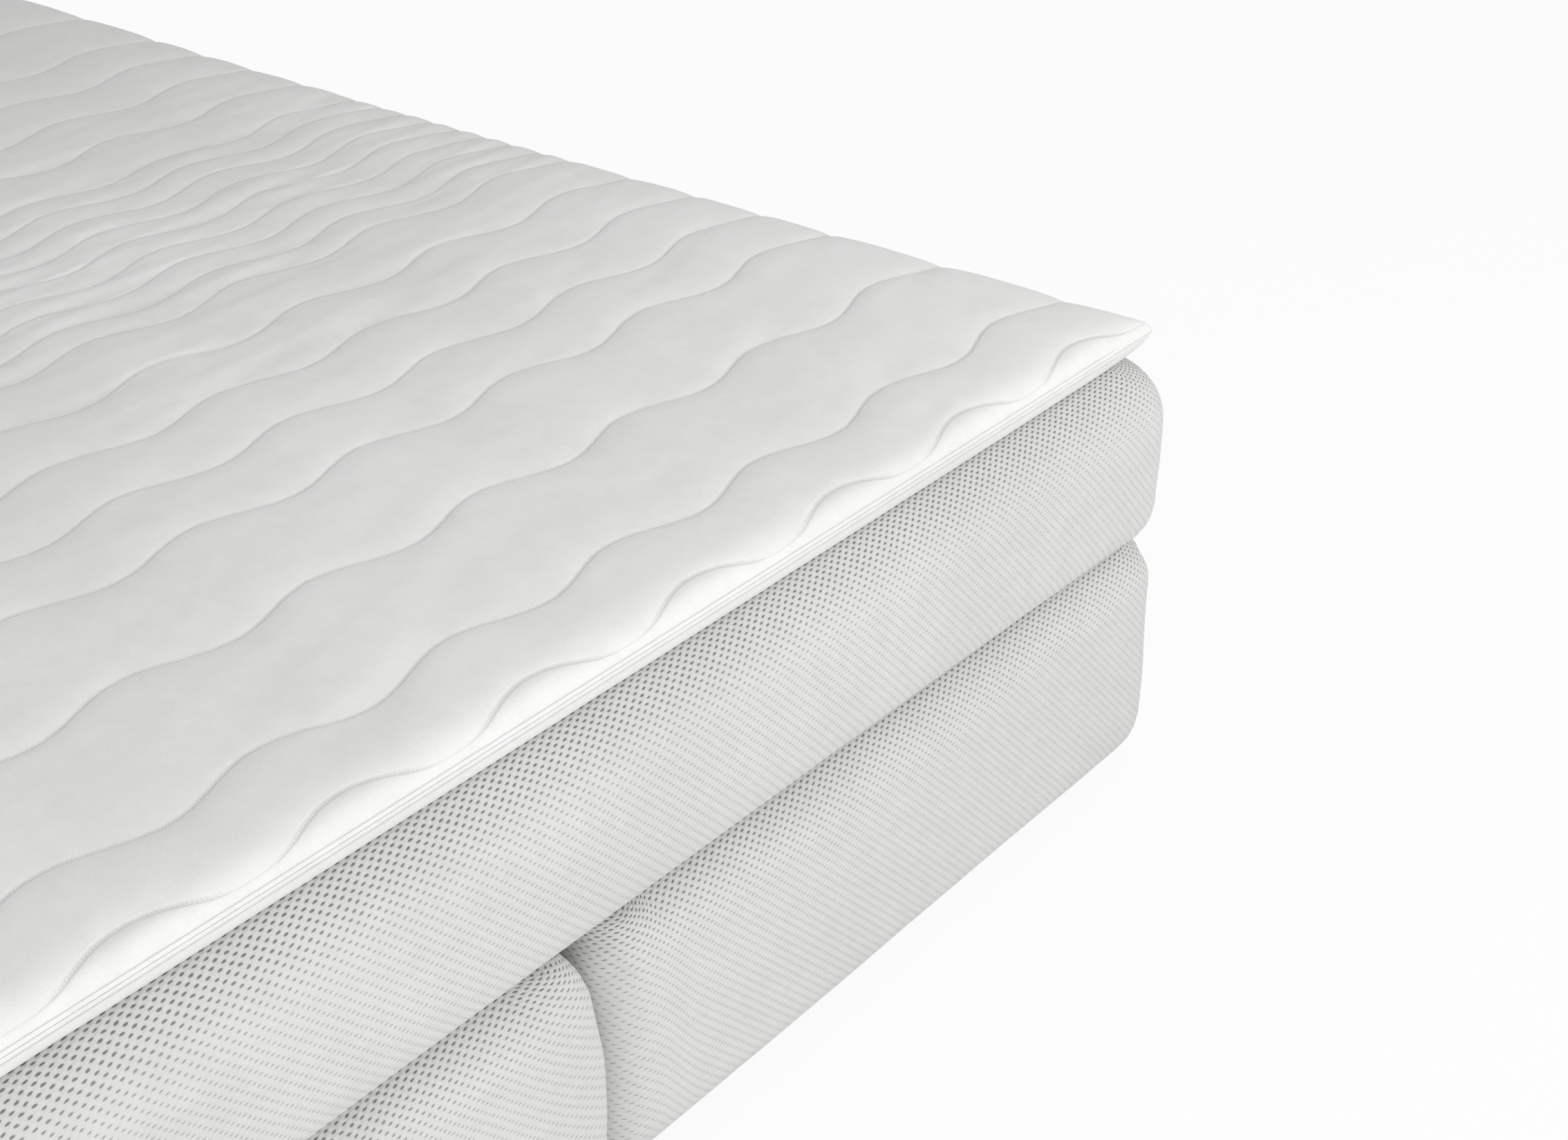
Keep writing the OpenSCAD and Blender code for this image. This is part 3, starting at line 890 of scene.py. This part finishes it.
def lower_lid():
    edge = np.array([0, 0.0008, 0.002, 0.004, 0.0065, 0.009, 0.012, 0.016, 0.022, 0.032])
    xs = np.concatenate([-HALF_W + edge, np.linspace(-HALF_W + 0.05, HALF_W - 0.05, 120),
                         (HALF_W - edge)[::-1]])
    ys = np.concatenate([-HALF_L + edge, np.linspace(-HALF_L + 0.05, HALF_L - 0.05, 130),
                         (HALF_L - edge)[::-1]])
    piece, col, row = cloth_grid("topper_lower_cover", len(xs) - 1, len(ys) - 1)
    x, y = xs[col], ys[row]
    x0, y0 = round_plan(x, y)
    e = inward(x, y)
    corner = np.exp(-(from_corner(x, y) / 0.06) ** 1.5)
    drop = roll(e, 0.014 + 0.004 * corner, 1.5)
    flat = np.stack([x, y, 0 * x], 1)
    seam = ZIP_Z - lip(y)
    z = seam - drop * (seam - TOPPER_BASE - 0.0003)
    soft = soft_noise(flat, (0.09, 0.09, 1), 3.0) * 0.0008
    z = z + np.maximum(soft * step(e / 0.004) * step((0.03 - e) / 0.02), 0)
    lay_points(piece, np.stack(nose(x0, y0, z, 1 - drop), 1))
    lay_uv(piece, np.stack([x, y], 1))
    paint(piece, "from_stitch", np.full(len(x), 0.03))
    close_lid(piece, 0.0002)
    smooth(piece, 50)
    return piece


upper = quilted_lid()
finish_piece(upper, "topper", "quilted_knit", ("topper_cover_top", "topper_wadding_top"))
lower = lower_lid()
finish_piece(lower, "topper", "quilted_knit", ("topper_cover_bottom", "topper_wadding_bottom"))


# ---------------------------------------------------------------- zip hardware and glides
def copied(node, body, slot):
    """A copy of a moulded or cast part as the CAD gives it, with its edges left sharp."""
    only(nodes[node])
    bpy.ops.object.duplicate()
    piece = bpy.context.object
    piece.name = node + "_finished"
    bpy.ops.object.parent_clear(type="CLEAR_KEEP_TRANSFORM")
    only(piece)
    bpy.ops.object.transform_apply(location=True, rotation=True, scale=True)
    smooth(piece, 40)
    finish_piece(piece, body, slot, (node,))


copied("zip_slider", "zip_slider", "zip_metal")
copied("zip_pull", "zip_pull", "zip_metal")
copied("topper_zip_stop", "topper", "zip_metal")
for side in ("left", "right"):
    copied("base_%s_glides" % side, "base", "glide_plastic")
for end in ("foot", "head"):
    copied("base_link_" + end, "base", "steel")


# ---------------------------------------------------------------- floor and light
def set_stage():
    bpy.ops.object.select_all(action="DESELECT")
    bpy.ops.mesh.primitive_plane_add(size=60, location=(0, 0, 0))
    floor = bpy.context.object
    floor.name = "studio_floor"
    m = bpy.data.materials.new("studio_floor")
    m.use_nodes = True
    s = Sheet(m.node_tree)
    shader = m.node_tree.nodes["Principled BSDF"]
    shader.inputs["Base Color"].default_value = (0.82, 0.82, 0.82, 1)
    shader.inputs["Roughness"].default_value = 0.9
    out = m.node_tree.nodes["Material Output"]
    glow = s.node("ShaderNodeEmission")
    glow.inputs["Color"].default_value = (1, 1, 1, 1)
    glow.inputs["Strength"].default_value = 1.0
    path = s.node("ShaderNodeLightPath")
    seen = s.math("MAXIMUM", path.outputs["Is Camera Ray"], path.outputs["Is Glossy Ray"])
    blend = s.node("ShaderNodeMixShader")
    s.put(blend.inputs[0], s.math("MULTIPLY", seen, 0.93))
    s.join(shader.outputs[0], blend.inputs[1])
    s.join(glow.outputs[0], blend.inputs[2])
    s.join(blend.outputs[0], out.inputs["Surface"])
    floor.data.materials.append(m)

    world = bpy.data.worlds.new("studio")
    bpy.context.scene.world = world
    world.use_nodes = True
    w = Sheet(world.node_tree)
    back = world.node_tree.nodes["Background"]
    back.inputs["Color"].default_value = (1, 1, 1, 1)
    path = w.node("ShaderNodeLightPath")
    seen = w.math("MAXIMUM", path.outputs["Is Camera Ray"], path.outputs["Is Glossy Ray"])
    w.put(back.inputs["Strength"], w.ramp(seen, 0.0, 1.0, 0.42, 1.0, smooth=False))

    def lamp(name, size, energy, place, aim):
        bpy.ops.object.select_all(action="DESELECT")
        bpy.ops.object.light_add(type="AREA", location=place)
        light = bpy.context.object
        light.name = name
        light.data.shape = "RECTANGLE"
        light.data.size, light.data.size_y = size
        light.data.energy = energy
        turn = (Vector(aim) - Vector(place)).to_track_quat("-Z", "Y")
        light.rotation_euler = turn.to_euler()

    lamp("key_window", (2.6, 2.0), 56, (1.9, -3.4, 2.6), (0.4, -0.9, 0.4))
    lamp("high_fill", (3.0, 3.0), 20, (-0.8, -0.6, 3.4), (0.0, -0.4, 0.5))
    lamp("back_fill", (3.5, 0.4), 26, (0.6, 4.0, 0.28), (0.0, 0.9, 0.28))
    lamp("front_fill", (3.0, 1.2), 30, (-1.2, -3.6, 0.75), (0.1, -1.0, 0.45))


set_stage()
bpy.context.scene.view_settings.view_transform = "Standard"

bpy.context.view_layer.update()
